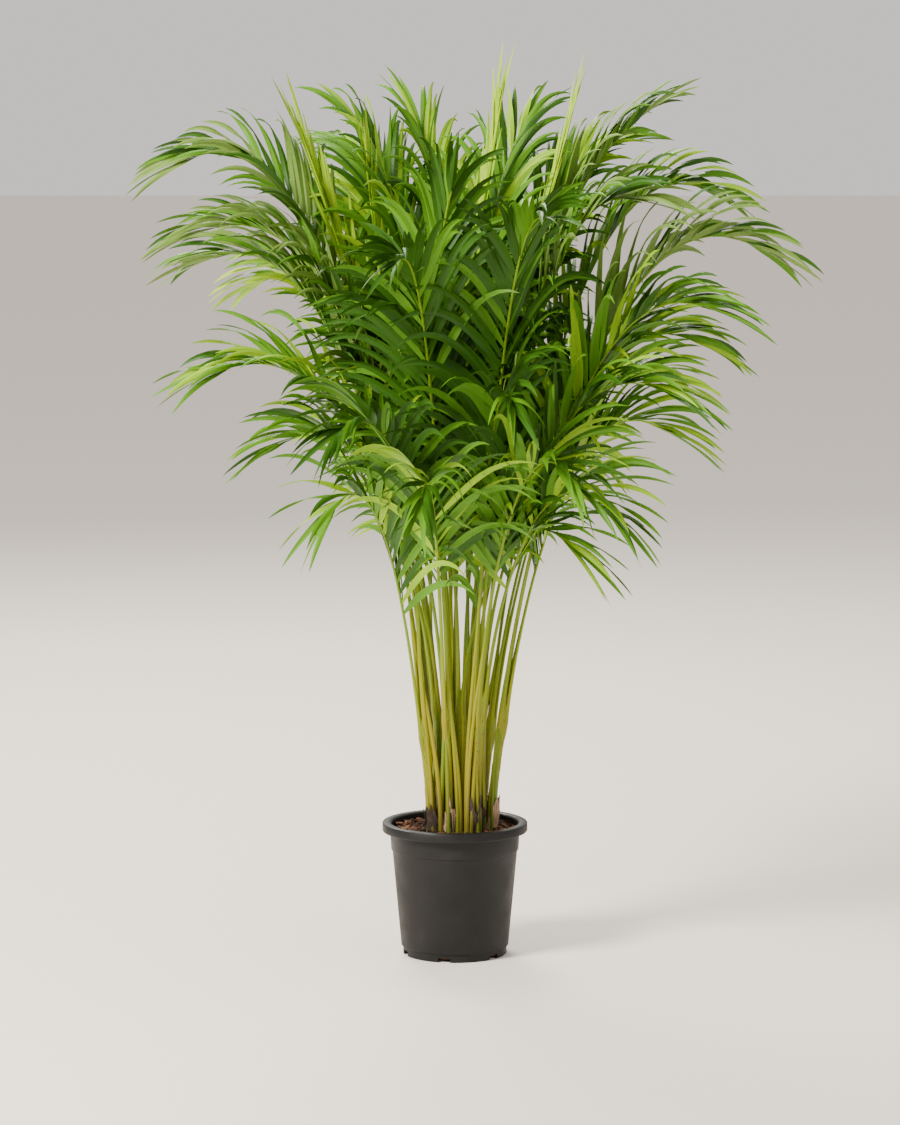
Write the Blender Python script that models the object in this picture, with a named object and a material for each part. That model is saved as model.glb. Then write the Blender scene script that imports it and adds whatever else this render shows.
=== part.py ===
"""Potted areca palm: a clump of leaning canes and feathered fronds in a round nursery pot.

Units are metres, +Z is up, and the origin is the centre of the pot's underside.
A heading is an angle in degrees seen from above: 0 is right, 90 back, 180 left, 270 front.
"""

import math
import random

import bmesh
import bpy
from mathutils import Matrix, Vector
from mathutils.bvhtree import BVHTree

CLEARANCE = 0.0003  # the gap between one piece and the next
SIDES = 36  # flat sides of every turned piece
UP = Vector((0, 0, 1))

# Pot
POT_HEIGHT = 0.150
POT_WALL = 0.002
POT_FLOOR = 0.003
FOOT_RADIUS = 0.0584
FOOT_HEIGHT = 0.0094
WALL_FOOT_RADIUS = 0.0605
STEP_HEIGHT = 0.118  # where the wall steps out into the collar
STEP_RISE = 0.0015
STEP_RADIUS = 0.0704
COLLAR_FOOT_RADIUS = 0.0718
COLLAR_RADIUS = 0.0735
RIM_RADIUS = 0.08175
RIM_DEPTH = 0.010
RIM_ROUNDING = 0.0015
NOTCHES = 6
NOTCH_HEADING = 258  # of the first drainage notch
NOTCH_WIDTH = 0.0137
NOTCH_HEIGHT = 0.0055
NOTCH_DEPTH = 0.012

# Soil
SOIL_LEVEL = 0.140
SOIL_GAP = 0.0005  # round the root ball, so that its flat sides clear the wall

# Canes
CANES = 14
CANE_SIDES = 6
CANE_SECTIONS = ((0, 0.0070), (0.09, 0.0063), (0.5, 0.0058), (1, 0.0052))  # share of height, radius
CANE_TOPS = (0.245, 0.285)  # the range of heights that the canes end at
CLUMP_CENTRE = Vector((0.005, 0, 0))
CLUMP_RADIUS = 0.036  # out to the axis of the outermost cane's foot
CLUMP_TURN = 140  # of the whole pattern of canes, in degrees
CLUMP_SPREAD = 1.42  # how much wider the pattern is at the canes' tops
GOLDEN_ANGLE = 137.508
SEED = 97

# Stalks: three to a cane, bare below and feathered above
STALKS_PER_CANE = 3
STALK_RADIUS = 0.0025
STALK_TIP_RADIUS = 0.0009
STALK_OFFSET = 0.0034  # from the cane's axis to the foot of each of its stalks
STALK_REACH = 0.45  # how far along its rise and its reach a stalk's two guide points lie
STALK_ROLL = 25  # the most that a frond is turned about its own stalk, in degrees
STALK_STEPS = 80
BARE_SHARE = 0.42
BARE_RINGS = 5
PAIR_SPACING = 0.030

# Leaflets
LEAFLET_LENGTH = 0.185
LEAFLET_WIDTH = 0.016
LEAFLET_THICKNESS = 0.011  # as a share of its length
LEAFLET_ROOT = 0.009  # its length along the rachis
LEAFLET_BEND = 0.45  # where along its length the blade bends down
ANGLE_AT_FOOT = 46  # between leaflet and rachis, in degrees
ANGLE_AT_TIP = 16
VEE_ANGLE = 30  # how far the two rows rise out of the frond's plane
RISING_DROOP = 0.14  # the fall of the part below the bend, and of the part beyond it
FALLING_DROOP = 0.69
END_LENGTH = 0.085
END_WIDTH = 0.0096
END_DROOPS = (0.14, 0.33)
# A young frond is still nearly shut: its leaflets are as much shorter, narrower and so on.
YOUNG_LENGTH = 0.85
YOUNG_WIDTH = 0.6
YOUNG_ANGLE = 0.28
YOUNG_DROOP = 0.2
# How a leaflet that has no room is turned, in degrees, and cut back until it has room.
SHORTENINGS = (1.0, 0.85, 0.7)
LIFTS = (0, 9, -9, 18, -18)
OPENINGS = (0, 6, -6)
OWN_ROOT_SHARE = 0.2  # of a leaflet, from its root, that may lie close to its own frond

# The fronds that face the viewer: the heading, reach and height of each rachis tip,
# and how far the arch aims above that tip, or below it where the frond is upright.
SHOWN_FRONDS = (
    (170, 0.292, 0.895, 0.050),
    (188, 0.264, 0.818, 0.040),
    (164, 0.275, 0.782, 0.040),
    (190, 0.252, 0.665, 0.040),
    (203, 0.190, 0.590, 0.040),
    (222, 0.175, 0.520, 0.060),
    (5, 0.330, 0.798, 0.070),
    (346, 0.190, 0.850, 0.010),
    (15, 0.205, 0.930, -0.080),
    (340, 0.285, 0.735, 0.040),
    (14, 0.270, 0.690, 0.050),
    (335, 0.245, 0.645, 0.050),
    (4, 0.225, 0.595, 0.050),
    (318, 0.215, 0.520, 0.070),
    (268, 0.105, 0.860, -0.050),
    (245, 0.145, 0.735, 0.000),
    (285, 0.230, 0.640, 0.050),
    (300, 0.245, 0.560, 0.070),
    (240, 0.240, 0.610, 0.050),
    (262, 0.260, 0.540, 0.070),
    (330, 0.140, 0.475, 0.060),
    (256, 0.245, 0.790, 0.030),
    (294, 0.225, 0.835, 0.000),
)
# The upright young fronds, the same way.
YOUNG_FRONDS = (
    (40, 0.060, 0.930, -0.250),
    (8, 0.125, 0.920, -0.250),
    (178, 0.095, 0.868, -0.250),
    (165, 0.170, 0.900, -0.200),
)
# The fronds on the far side, in tiers of reach, height and arch, spread between two headings.
FAR_TIERS = (
    (0.290, 0.860, 0.040),
    (0.260, 0.640, 0.050),
    (0.120, 0.920, -0.060),
    (0.300, 0.750, 0.050),
    (0.200, 0.560, 0.060),
    (0.190, 0.900, -0.030),
)
FAR_HEADINGS = (20, 156)
GOLDEN_SHARE = 0.618

PLASTIC = ((0.018, 0.019, 0.020), 0.55)  # each a base colour and a roughness
SOIL = ((0.075, 0.032, 0.018), 0.95)
CANE = ((0.32, 0.36, 0.07), 0.50)
LEAF = ((0.07, 0.20, 0.025), 0.45)


def clear_scene():
    for thing in list(bpy.data.objects):
        bpy.data.objects.remove(thing)


def add_object(name, mesh, look):
    """An object with a plain material of its own."""
    colour, roughness = look
    material = bpy.data.materials.new(name)
    material.use_nodes = True
    shader = material.node_tree.nodes["Principled BSDF"]
    shader.inputs["Base Color"].default_value = (*colour, 1.0)
    shader.inputs["Roughness"].default_value = roughness
    mesh.materials.append(material)
    made = bpy.data.objects.new(name, mesh)
    bpy.context.collection.objects.link(made)
    return made


def add_solid(name, verts, faces, look):
    """An object from vertices and faces, with its faces turned outwards."""
    mesh = bpy.data.meshes.new(name)
    mesh.from_pydata([tuple(vert) for vert in verts], [], faces)
    work = bmesh.new()
    work.from_mesh(mesh)
    bmesh.ops.recalc_face_normals(work, faces=work.faces)
    work.to_mesh(mesh)
    work.free()
    return add_object(name, mesh, look)


def add_turned(name, profile, look):
    """A solid of revolution about Z, from an outline of (radius, height) that starts and ends on it."""
    work = bmesh.new()
    outline = [work.verts.new((radius, 0, height)) for radius, height in profile]
    edges = [work.edges.new(pair) for pair in zip(outline, outline[1:])]
    bmesh.ops.spin(
        work, geom=outline + edges, cent=(0, 0, 0), axis=UP,
        angle=math.tau, steps=SIDES, use_merge=True,
    )
    bmesh.ops.remove_doubles(work, verts=work.verts, dist=1e-6)
    bmesh.ops.recalc_face_normals(work, faces=work.faces)
    mesh = bpy.data.meshes.new(name)
    work.to_mesh(mesh)
    work.free()
    mesh.shade_smooth()
    mesh.set_sharp_from_angle(angle=math.radians(30))
    return add_object(name, mesh, look)


def compass(heading):
    """The level direction of a heading."""
    angle = math.radians(heading)
    return Vector((math.cos(angle), math.sin(angle), 0))


# Pot and soil


def pot_profile():
    """From the middle of the underside, up the outside, over the rim and down the inside."""
    under_rim = POT_HEIGHT - RIM_DEPTH
    lip = POT_HEIGHT - POT_WALL
    collar_foot = STEP_HEIGHT + STEP_RISE
    return [
        (0, 0),
        (FOOT_RADIUS, 0),
        (FOOT_RADIUS, FOOT_HEIGHT),
        (WALL_FOOT_RADIUS, FOOT_HEIGHT),
        (STEP_RADIUS, STEP_HEIGHT),
        (COLLAR_FOOT_RADIUS, collar_foot),
        (COLLAR_RADIUS, lip),
        (RIM_RADIUS - POT_WALL, lip),
        (RIM_RADIUS - POT_WALL, under_rim),
        (RIM_RADIUS, under_rim + RIM_ROUNDING),
        (RIM_RADIUS, POT_HEIGHT - RIM_ROUNDING),
        (RIM_RADIUS - RIM_ROUNDING, POT_HEIGHT),
        (COLLAR_RADIUS, POT_HEIGHT),
        (COLLAR_RADIUS - POT_WALL, POT_HEIGHT - RIM_ROUNDING),
        (COLLAR_FOOT_RADIUS - POT_WALL, collar_foot),
        (STEP_RADIUS - POT_WALL, STEP_HEIGHT),
        (FOOT_RADIUS - POT_WALL, FOOT_HEIGHT + POT_WALL),
        (FOOT_RADIUS - POT_WALL, POT_FLOOR),
        (0, POT_FLOOR),
    ]


def make_notch_cutter():
    """The blocks that the drainage notches are cut with, as one hidden object."""
    work = bmesh.new()
    for number in range(NOTCHES):
        block = bmesh.ops.create_cube(work, size=1)["verts"]
        bmesh.ops.scale(work, vec=(2 * NOTCH_DEPTH, NOTCH_WIDTH, 2 * NOTCH_HEIGHT), verts=block)
        bmesh.ops.translate(work, vec=(FOOT_RADIUS, 0, 0), verts=block)
        turn = math.radians(NOTCH_HEADING + number * 360 / NOTCHES)
        bmesh.ops.rotate(work, matrix=Matrix.Rotation(turn, 3, "Z"), verts=block)
    mesh = bpy.data.meshes.new("notch_cutter")
    work.to_mesh(mesh)
    work.free()
    cutter = add_object("notch_cutter", mesh, PLASTIC)
    cutter.hide_render = True
    cutter.display_type = "WIRE"
    return cutter


def make_pot():
    pot = add_turned("pot", pot_profile(), PLASTIC)
    notches = pot.modifiers.new("notches", "BOOLEAN")
    notches.operation = "DIFFERENCE"
    notches.object = make_notch_cutter()


def make_soil():
    """The root ball, which fills the pot up to the soil's level."""
    inset = POT_WALL + SOIL_GAP
    floor = POT_FLOOR + CLEARANCE
    collar_foot = STEP_HEIGHT + STEP_RISE
    share = (SOIL_LEVEL - collar_foot) / (POT_HEIGHT - RIM_ROUNDING - collar_foot)
    top_radius = COLLAR_FOOT_RADIUS + share * (COLLAR_RADIUS - COLLAR_FOOT_RADIUS)
    profile = [
        (0, floor),
        (FOOT_RADIUS - inset, floor),
        (FOOT_RADIUS - inset, FOOT_HEIGHT + POT_WALL),
        (STEP_RADIUS - inset, STEP_HEIGHT),
        (COLLAR_FOOT_RADIUS - inset, collar_foot),
        (top_radius - inset, SOIL_LEVEL),
        (0, SOIL_LEVEL),
    ]
    add_turned("soil", profile, SOIL)


# Canes


def cane_axes():
    """Each cane's foot and top: a sunflower's pattern on the soil that widens as it rises."""
    draw = random.Random(SEED)
    axes = []
    for number in range(CANES):
        distance = CLUMP_RADIUS * math.sqrt((number + 0.5) / (CANES - 0.5))
        offset = distance * compass(CLUMP_TURN + number * GOLDEN_ANGLE)
        foot = CLUMP_CENTRE + offset + (SOIL_LEVEL + CLEARANCE) * UP
        top = CLUMP_CENTRE + CLUMP_SPREAD * offset + draw.uniform(*CANE_TOPS) * UP
        axes.append((foot, top))
    return axes


def cane_mesh(foot, top):
    """A leaning cane that tapers up from a flared foot, cut level at both ends."""
    verts = []
    for share, radius in CANE_SECTIONS:
        middle = foot.lerp(top, share)
        verts += [middle + radius * compass(side * 360 / CANE_SIDES) for side in range(CANE_SIDES)]
    faces = [tuple(range(CANE_SIDES)), tuple(range(len(verts) - CANE_SIDES, len(verts)))]
    for low in range(0, len(verts) - CANE_SIDES, CANE_SIDES):
        high = low + CANE_SIDES
        for side in range(CANE_SIDES):
            after = (side + 1) % CANE_SIDES
            faces.append((low + side, low + after, high + after, high + side))
    return verts, faces


# Where the fronds go


def frond_plan():
    """Every frond's heading, reach, height, arch and youth, the widest reach first."""
    plan = [(*row, False) for row in SHOWN_FRONDS] + [(*row, True) for row in YOUNG_FRONDS]
    first, last = FAR_HEADINGS
    for number in range(CANES * STALKS_PER_CANE - len(plan)):
        heading = first + (last - first) * (number * GOLDEN_SHARE % 1)
        plan.append((heading, *FAR_TIERS[number % len(FAR_TIERS)], False))
    return sorted(plan, key=lambda row: -row[1])


def shared_out(plan, axes):
    """The fronds of each cane: a frond goes to the free cane nearest to the way it leans."""
    widest = plan[0][1]
    groups = [[] for _ in axes]
    for row in plan:
        wanted = CLUMP_CENTRE + CLUMP_RADIUS * row[1] / widest * compass(row[0])
        free = [number for number, group in enumerate(groups) if len(group) < STALKS_PER_CANE]
        nearest = min(free, key=lambda number: (axes[number][0].xy - wanted.xy).length)
        groups[nearest].append(row)
    return groups


def guide_points(cane, row, place):
    """The four guide points of a stalk that leaves its cane in line and arches over to its tip."""
    foot, top = cane
    heading, reach, height, arch, _ = row
    along = (top - foot).normalized()
    outward = (top - CLUMP_CENTRE).xy.to_3d().normalized()
    around = math.radians(place * 360 / STALKS_PER_CANE)
    offset = STALK_OFFSET * (math.cos(around) * outward + math.sin(around) * UP.cross(outward))
    start = top + offset + CLEARANCE * UP
    tip = reach * compass(heading) + height * UP
    rise = height - start.z
    level = (tip - start).xy.to_3d()
    leaving = start + STALK_REACH * rise * along / along.z
    arching = start + STALK_REACH * level + (rise + arch) * UP
    return start, leaving, arching, tip


def bezier(guides, share):
    """The point at a share of the way along a cubic curve."""
    a, b, c, d = guides
    rest = 1 - share
    return rest**3 * a + 3 * rest**2 * share * b + 3 * rest * share**2 * c + share**3 * d


class Stalk:
    """A frond's stalk as a measured curve, with its place and frame at any distance from its foot."""

    def __init__(self, name, guides, heading, young, roll):
        self.name = name
        self.young = young
        self.points = [bezier(guides, step / STALK_STEPS) for step in range(STALK_STEPS + 1)]
        self.marks = [0.0]
        for last, point in zip(self.points, self.points[1:]):
            self.marks.append(self.marks[-1] + (point - last).length)
        self.length = self.marks[-1]
        self.side = compass(heading + 90)
        self.roll = math.radians(roll)

    def frame(self, distance):
        """The point there, and the directions along, to the left of and above the stalk."""
        step = 1
        while step < STALK_STEPS and self.marks[step] < distance:
            step += 1
        along = (self.points[step] - self.points[step - 1]).normalized()
        point = self.points[step - 1] + (distance - self.marks[step - 1]) * along
        level = (self.side - self.side.dot(along) * along).normalized()
        left = math.cos(self.roll) * level + math.sin(self.roll) * along.cross(level)
        return point, along, left, along.cross(left)

    def section(self, distance, swell):
        """Its three corners there: upper left, upper right and lower."""
        point, _, left, above = self.frame(distance)
        radius = STALK_RADIUS + (STALK_TIP_RADIUS - STALK_RADIUS) * distance / self.length + swell
        return [
            point + radius * (math.sin(turn) * left + math.cos(turn) * above)
            for turn in (math.pi / 3, -math.pi / 3, math.pi)
        ]

    def pair_distances(self):
        """The distance of each pair of leaflets."""
        bare = BARE_SHARE * self.length
        feathered = self.length - bare
        pairs = round(feathered / PAIR_SPACING)
        return [bare + feathered * (pair + 0.6) / pairs for pair in range(pairs)]

    def end_leaflet(self, swell):
        """The three corners of the last leaflet's bend, and its tip."""
        point, along, left, above = self.frame(self.length)
        rising, falling = [
            (along - (0 if self.young else droop) * UP).normalized() for droop in END_DROOPS
        ]
        bend = point + LEAFLET_BEND * END_LENGTH * rising
        tip = bend + (1 - LEAFLET_BEND) * END_LENGTH * falling
        half = END_WIDTH / 2 + swell
        deep = LEAFLET_THICKNESS * LEAFLET_LENGTH / 2 + swell
        return [bend + half * left, bend - half * left, bend - deep * above, tip]


def make_stalks():
    """Every frond's stalk: on each cane the lowest frond leaves outwards, the others either side."""
    draw = random.Random(SEED)
    axes = cane_axes()
    stalks = []
    for cane, rows in zip(axes, shared_out(frond_plan(), axes)):
        outward = (cane[1] - CLUMP_CENTRE).xy
        bearing = math.degrees(math.atan2(outward.y, outward.x))
        lowest = min(rows, key=lambda row: row[2])
        others = [row for row in rows if row is not lowest]
        others.sort(key=lambda row: (row[0] - bearing + 180) % 360)
        for row, place in zip([lowest, *others], (0, -1, 1)):
            name = f"frond_{len(stalks) + 1:02d}"
            roll = draw.uniform(-STALK_ROLL, STALK_ROLL)
            stalks.append(Stalk(name, guide_points(cane, row, place), row[0], row[4], roll))
    return stalks


# Frond meshes


def stalk_verts(stalk, swell=0.0):
    """The corners of a stalk's rings, two of them at each pair of leaflets, then its end leaflet's."""
    bare = BARE_SHARE * stalk.length
    distances = [bare * ring / BARE_RINGS for ring in range(BARE_RINGS + 1)]
    for middle in stalk.pair_distances():
        distances += [middle - LEAFLET_ROOT / 2, middle + LEAFLET_ROOT / 2]
    verts = [corner for distance in distances for corner in stalk.section(distance, swell)]
    return verts + stalk.end_leaflet(swell)


def stalk_faces(ring_verts, leaflets):
    """A stalk's faces, with a leaflet's faces in place of each side that one grows from."""
    faces = [(0, 1, 2)]
    last = ring_verts - 4
    for low in range(0, last, 3):
        high = low + 3
        faces.append((low, low + 1, high + 1, high))
        faces += leaflets.get((low, 0), [(low, high, high + 2, low + 2)])
        faces += leaflets.get((low, 1), [(low + 1, low + 2, high + 2, high + 1)])
    faces += [(last, last + 1, last + 3), (last + 1, last + 2, last + 3), (last + 2, last, last + 3)]
    return faces


def leaflet_faces(root, section, tip):
    """A blade's faces, from the four corners of its root over those of its bend to its tip."""
    faces = []
    for corner in range(4):
        after = (corner + 1) % 4
        faces.append((root[corner], root[after], section[after], section[corner]))
        faces.append((section[corner], section[after], tip))
    return faces


BLADE_FACES = leaflet_faces((0, 1, 2, 3), (4, 5, 6, 7), 8)


class Blade:
    """One leaflet: its bend and tip, and half its width and its thickness there as vectors."""

    def __init__(self, stalk, distance, share, side, shortening, lift, opening):
        young = stalk.young
        point, along, left, above = stalk.frame(distance)
        plain_angle = ANGLE_AT_FOOT + (ANGLE_AT_TIP - ANGLE_AT_FOOT) * share
        angle = math.radians(plain_angle * (YOUNG_ANGLE if young else 1) + opening)
        vee = math.radians(VEE_ANGLE + lift)
        aside = side * math.cos(vee) * left + math.sin(vee) * above
        direction = math.cos(angle) * along + math.sin(angle) * aside
        bulge = math.sin(math.pi * min(1, 1.2 * share))
        length = LEAFLET_LENGTH * (0.72 + 0.28 * bulge - 0.18 * share) * shortening
        length *= YOUNG_LENGTH if young else 1
        stiffness = (1 - 0.3 * share) * (YOUNG_DROOP if young else 1)
        rising = (direction - stiffness * RISING_DROOP * UP).normalized()
        falling = (direction - stiffness * FALLING_DROOP * UP).normalized()
        self.bend = point + LEAFLET_BEND * length * rising
        self.tip = self.bend + (1 - LEAFLET_BEND) * length * falling
        across = (along - along.dot(rising) * rising).normalized()
        width = LEAFLET_WIDTH * (0.8 + 0.2 * math.sin(math.pi * share)) * (YOUNG_WIDTH if young else 1)
        self.half_width = width / 2 * across
        self.half_thickness = LEAFLET_THICKNESS * length / 2 * side * across.cross(rising)

    def corners(self, swell=0.0):
        """The corners of its bend, from the upper front one round over the back."""
        wide = self.half_width + swell * self.half_width.normalized()
        deep = self.half_thickness + swell * self.half_thickness.normalized()
        bend = self.bend
        return [bend + wide + deep, bend - wide + deep, bend - wide - deep, bend + wide - deep]

    def swollen(self, root):
        """Its vertices with room round them: the whole blade's, then those away from its root."""
        section = self.corners(2 * CLEARANCE)
        beyond = self.tip + 2 * CLEARANCE * (self.tip - self.bend).normalized()
        away = [point.lerp(corner, OWN_ROOT_SHARE) for point, corner in zip(root, section)]
        return [*root, *section, beyond], [*away, *section, beyond]


def box(verts):
    """The lowest and highest corner of some points."""
    low = Vector(min(vert[axis] for vert in verts) for axis in range(3))
    high = Vector(max(vert[axis] for vert in verts) for axis in range(3))
    return low, high


class Space:
    """The room that is taken, as trees of faces, each with its owner's name."""

    def __init__(self):
        self.taken = []

    def add(self, owner, verts, faces, own_verts=None):
        """Take room. What the same owner adds later only has to clear the own vertices."""
        tree = BVHTree.FromPolygons(verts, faces)
        own_tree = BVHTree.FromPolygons(own_verts or verts, faces)
        self.taken.append((owner, *box(verts), tree, own_tree))

    def has_room(self, owner, verts, faces, own_verts):
        low, high = box(verts)
        tree = BVHTree.FromPolygons(verts, faces)
        own_tree = BVHTree.FromPolygons(own_verts, faces)
        for other, other_low, other_high, other_tree, other_own_tree in self.taken:
            if any(low[axis] > other_high[axis] or high[axis] < other_low[axis] for axis in range(3)):
                continue
            if other == owner:
                touches = own_tree.overlap(other_own_tree)
            else:
                touches = tree.overlap(other_tree)
            if touches:
                return False
        return True


def find_blade(space, stalk, distance, share, side, root):
    """The first way of turning and cutting back a leaflet that has room, or None."""
    for shortening in SHORTENINGS:
        for lift in LIFTS:
            for opening in OPENINGS:
                blade = Blade(stalk, distance, share, side, shortening, lift, opening)
                whole, away = blade.swollen(root)
                if space.has_room(stalk.name, whole, BLADE_FACES, away):
                    space.add(stalk.name, whole, BLADE_FACES, away)
                    return blade
    return None


def frond_mesh(space, stalk):
    """A stalk with a leaflet on each side at every pair, left out where it would touch anything."""
    verts = stalk_verts(stalk)
    ring_verts = len(verts)
    leaflets = {}
    distances = stalk.pair_distances()
    for number, distance in enumerate(distances):
        share = number / (len(distances) - 1)
        low = 3 * (BARE_RINGS + 1 + 2 * number)
        for corner, side in ((0, 1), (1, -1)):
            root = (low + 3 + corner, low + corner, low + 2, low + 5)
            blade = find_blade(space, stalk, distance, share, side, [verts[index] for index in root])
            if blade:
                first = len(verts)
                verts += [*blade.corners(), blade.tip]
                leaflets[low, corner] = leaflet_faces(root, range(first, first + 4), first + 4)
    return verts, stalk_faces(ring_verts, leaflets)


def make_plant():
    """The canes, then the fronds, whose leaflets keep clear of every cane and stalk."""
    space = Space()
    for number, (foot, top) in enumerate(cane_axes(), start=1):
        name = f"cane_{number:02d}"
        verts, faces = cane_mesh(foot, top)
        space.add(name, verts, faces)
        add_solid(name, verts, faces, CANE)
    stalks = make_stalks()
    for stalk in stalks:
        verts = stalk_verts(stalk, swell=2 * CLEARANCE)
        space.add(stalk.name, verts, stalk_faces(len(verts), {}))
    for stalk in stalks:
        verts, faces = frond_mesh(space, stalk)
        add_solid(stalk.name, verts, faces, LEAF)


def main():
    clear_scene()
    make_pot()
    make_soil()
    make_plant()


if __name__ == "__main__":
    main()
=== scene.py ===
"""Looks of a potted areca palm: its pot, soil, canes and fronds, with a camera, light and floor.

Units are metres, +Z is up, and the origin is the centre of the pot's underside.
A heading is an angle in degrees seen from above: 0 is right, 90 back, 180 left, 270 front.
A share tells how far along something a place lies, from 0 at its foot to 1 at its tip.
A pair of numbers that no comment explains gives the least and the most of a range.
"""

import math
import random
from collections import namedtuple

import bpy
import numpy as np
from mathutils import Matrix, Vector


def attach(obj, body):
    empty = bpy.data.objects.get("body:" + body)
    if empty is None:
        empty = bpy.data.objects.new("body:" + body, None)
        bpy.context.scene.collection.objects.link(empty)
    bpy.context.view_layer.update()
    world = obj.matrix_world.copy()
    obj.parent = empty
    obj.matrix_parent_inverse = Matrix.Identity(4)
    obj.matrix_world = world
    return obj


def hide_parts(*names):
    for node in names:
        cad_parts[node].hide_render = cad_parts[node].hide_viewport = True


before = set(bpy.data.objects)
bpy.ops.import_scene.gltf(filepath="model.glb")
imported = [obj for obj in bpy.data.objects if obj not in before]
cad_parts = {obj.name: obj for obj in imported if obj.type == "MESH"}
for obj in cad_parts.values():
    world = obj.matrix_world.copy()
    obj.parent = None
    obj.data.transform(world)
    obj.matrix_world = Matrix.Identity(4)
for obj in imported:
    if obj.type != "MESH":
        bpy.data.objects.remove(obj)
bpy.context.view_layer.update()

bl_info = {
    "name": "Potted areca palm",
    "version": (1, 0, 0),
    "blender": (4, 5, 0),
    "location": "3D View > Sidebar > Palm",
    "description": "Builds the visible pieces of a potted areca palm",
    "category": "Object",
}

RIGHT = Vector((1, 0, 0))
BACK = Vector((0, 1, 0))
UP = Vector((0, 0, 1))
SEED = 97

# The pot's outline in (radius, height), from the middle of the underside round to the inside
POT_OUTLINE = (
    (0, 0.0016), (0.0470, 0.0016), (0.0482, 0), (0.0578, 0), (0.0584, 0.0006), (0.0584, 0.0088),
    (0.0590, 0.0094), (0.0600, 0.0094), (0.0605, 0.0100), (0.0655, 0.0645), (0.0703, 0.1172),
    (0.0706, 0.1182), (0.0716, 0.1190), (0.0719, 0.1200), (0.0727, 0.1340), (0.0733, 0.1474),
    (0.0738, 0.1480), (0.0792, 0.1480), (0.0797, 0.1475), (0.0797, 0.1406), (0.0801, 0.1400),
    (0.0811, 0.1400), (0.08175, 0.1408), (0.08175, 0.1486), (0.0812, 0.1495), (0.0802, 0.1500),
    (0.0740, 0.1500), (0.0726, 0.1495), (0.0715, 0.1482), (0.0698, 0.1195), (0.0684, 0.1180),
    (0.0564, 0.0114), (0.0564, 0.0030), (0, 0.0030),
)
NOTCHES = 6
FIRST_NOTCH = 258  # its heading
NOTCH_DISTANCE = 0.0584
NOTCH_BLOCK = (0.024, 0.0137, 0.011)  # the sides of the block that cuts it
NOTCH_ROUNDING = 0.0012
POT_SHARP = 32  # where faces meet at more than this angle, the edge stays hard
WELD = 0.00001

# The soil: the sizes are ranges of half the length, width and depth of a chip or fibre
SOIL_LEVEL = 0.140
CHIP_SPREAD = 0.0675
CHIP_LEVELS = (-0.0005, 0.0042)
CHIP_SIZES = ((0.002, 0.0055), (0.0012, 0.0030), (0.0006, 0.0016))
FIBRE_SIZES = ((0.004, 0.009), (0.0003, 0.0006), (0.0003, 0.0005))
FIBRE_EVERY = 4
CHIP_LEAN = 0.35
CHIP_SKEW = 0.5
CHIP_WEAR = (0.6, 1.0)

# The layout of the canes and stalks, by the same rule as the solids. A section of a cane is a
# share of its height and the radius there.
CLEARANCE = 0.0003
CANES = 14
CANE_SECTIONS = ((0, 0.0070), (0.09, 0.0063), (0.5, 0.0058), (1, 0.0052))
CANE_TOPS = (0.245, 0.285)
CLUMP_CENTRE = Vector((0.005, 0, 0))
CLUMP_RADIUS = 0.036
CLUMP_TURN = 140
CLUMP_SPREAD = 1.42
GOLDEN_ANGLE = 137.508
GOLDEN_SHARE = 0.618
STALKS_PER_CANE = 3
STALK_RADIUS = 0.0025
STALK_TIP_RADIUS = 0.0009
STALK_OFFSET = 0.0034
STALK_REACH = 0.45
STALK_ROLL = 25
STALK_STEPS = 80
BARE_SHARE = 0.42

# The fronds that the photograph shows: heading, reach and height of the tip, and arch
SHOWN_FRONDS = (
    (170, 0.292, 0.895, 0.050),
    (188, 0.264, 0.818, 0.040),
    (164, 0.275, 0.782, 0.040),
    (190, 0.252, 0.665, 0.040),
    (203, 0.190, 0.590, 0.040),
    (222, 0.175, 0.520, 0.060),
    (5, 0.330, 0.798, 0.070),
    (346, 0.190, 0.850, 0.010),
    (15, 0.205, 0.930, -0.080),
    (340, 0.285, 0.735, 0.040),
    (14, 0.270, 0.690, 0.050),
    (335, 0.245, 0.645, 0.050),
    (4, 0.225, 0.595, 0.050),
    (318, 0.215, 0.520, 0.070),
    (268, 0.105, 0.860, -0.050),
    (245, 0.145, 0.735, 0.000),
    (285, 0.230, 0.640, 0.050),
    (300, 0.245, 0.560, 0.070),
    (240, 0.240, 0.610, 0.050),
    (262, 0.260, 0.540, 0.070),
    (330, 0.140, 0.475, 0.060),
    (256, 0.245, 0.790, 0.030),
    (294, 0.225, 0.835, 0.000),
)
# The upright young fronds, nearly shut, in the same order of numbers
YOUNG_FRONDS = (
    (40, 0.060, 0.930, -0.250),
    (8, 0.125, 0.920, -0.250),
    (178, 0.095, 0.868, -0.250),
    (165, 0.170, 0.900, -0.200),
)
# The fronds of the far side in turn, over a range of headings: the tip's reach and height, and arch
FAR_TIERS = (
    (0.290, 0.860, 0.040),
    (0.260, 0.640, 0.050),
    (0.120, 0.920, -0.060),
    (0.300, 0.750, 0.050),
    (0.200, 0.560, 0.060),
    (0.190, 0.900, -0.030),
)
FAR_HEADINGS = (20, 156)

# Canes: swollen joints with a groove and a scar, and a sheath that closes the top
CANE_SIDES = 20
CANE_STEPS = 60
CANE_BULK = (0.74, 0.96)
CANE_SWAY = (0.0006, 0.0014)
FIRST_JOINT = (0.006, 0.016)
JOINT_GAP = (0.020, 0.038)
SWELLING = 0.075
SWELLING_REACH = 0.0032
GROOVE = 0.05
GROOVE_REACH = 0.0009
SCAR = 0.8
SCAR_REACH = 0.0012
# The attribute "rise" at a cane's top, at the foot of its sheath, and its growth for each metre up
CANE_TOP_RISE = 0.8
SHEATH_FOOT_RISE = 0.85
SHEATH_RISE_RATE = 4
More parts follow.
